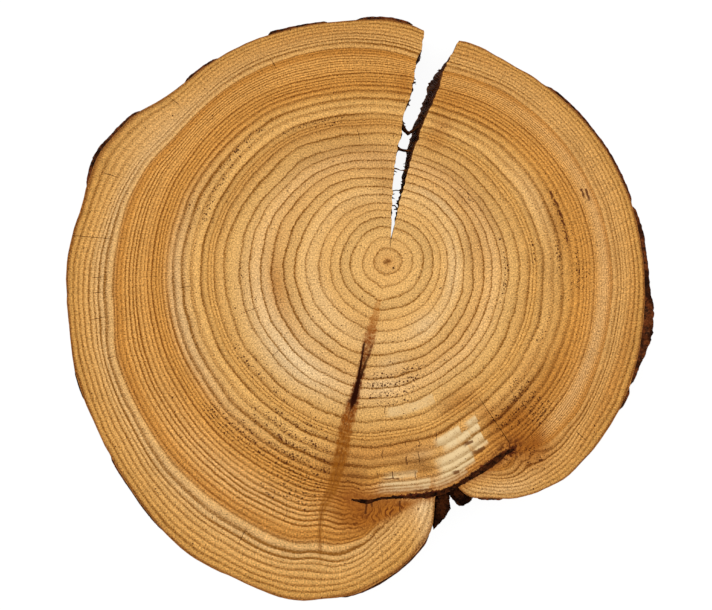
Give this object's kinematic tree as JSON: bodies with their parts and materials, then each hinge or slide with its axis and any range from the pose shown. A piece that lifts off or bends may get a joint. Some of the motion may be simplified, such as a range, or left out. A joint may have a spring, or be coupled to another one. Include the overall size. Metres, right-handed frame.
{
  "type": "wood slice",
  "caption": "Sawn round slice of larch trunk with a drying check open to the pith, a healed wound and remnants of bark, for use as a board, stand or decoration.",
  "frame": {"origin": "under the middle of the whole slice in plan, on the lower sawn face", "axes": "+Z along the trunk, out of the upper sawn face; the drying check opens towards +Y, a little to +X, and the old wound towards -Y"},
  "size_m": [0.2416, 0.24, 0.03],
  "materials": {
    "larch_wood": "end grain, sawn and lightly sanded, dry and matt",
    "larch_bark": "rough, scaly, dry and matt"
  },
  "bodies": {
    "root": {"wood_disc": "larch_wood", "ingrown_bark": "larch_bark", "bark_plate_right": "larch_bark", "bark_strip_upper_right": "larch_bark", "bark_strip_crown": "larch_bark", "bark_flake_upper": "larch_bark", "bark_flake_upper_left": "larch_bark", "bark_plate_left_shoulder": "larch_bark", "bark_flake_left": "larch_bark", "bark_strip_lower_left": "larch_bark", "bark_strip_left_roll": "larch_bark", "bark_strip_right_roll": "larch_bark", "bark_flake_lower_right": "larch_bark"}
  },
  "joints": []
}
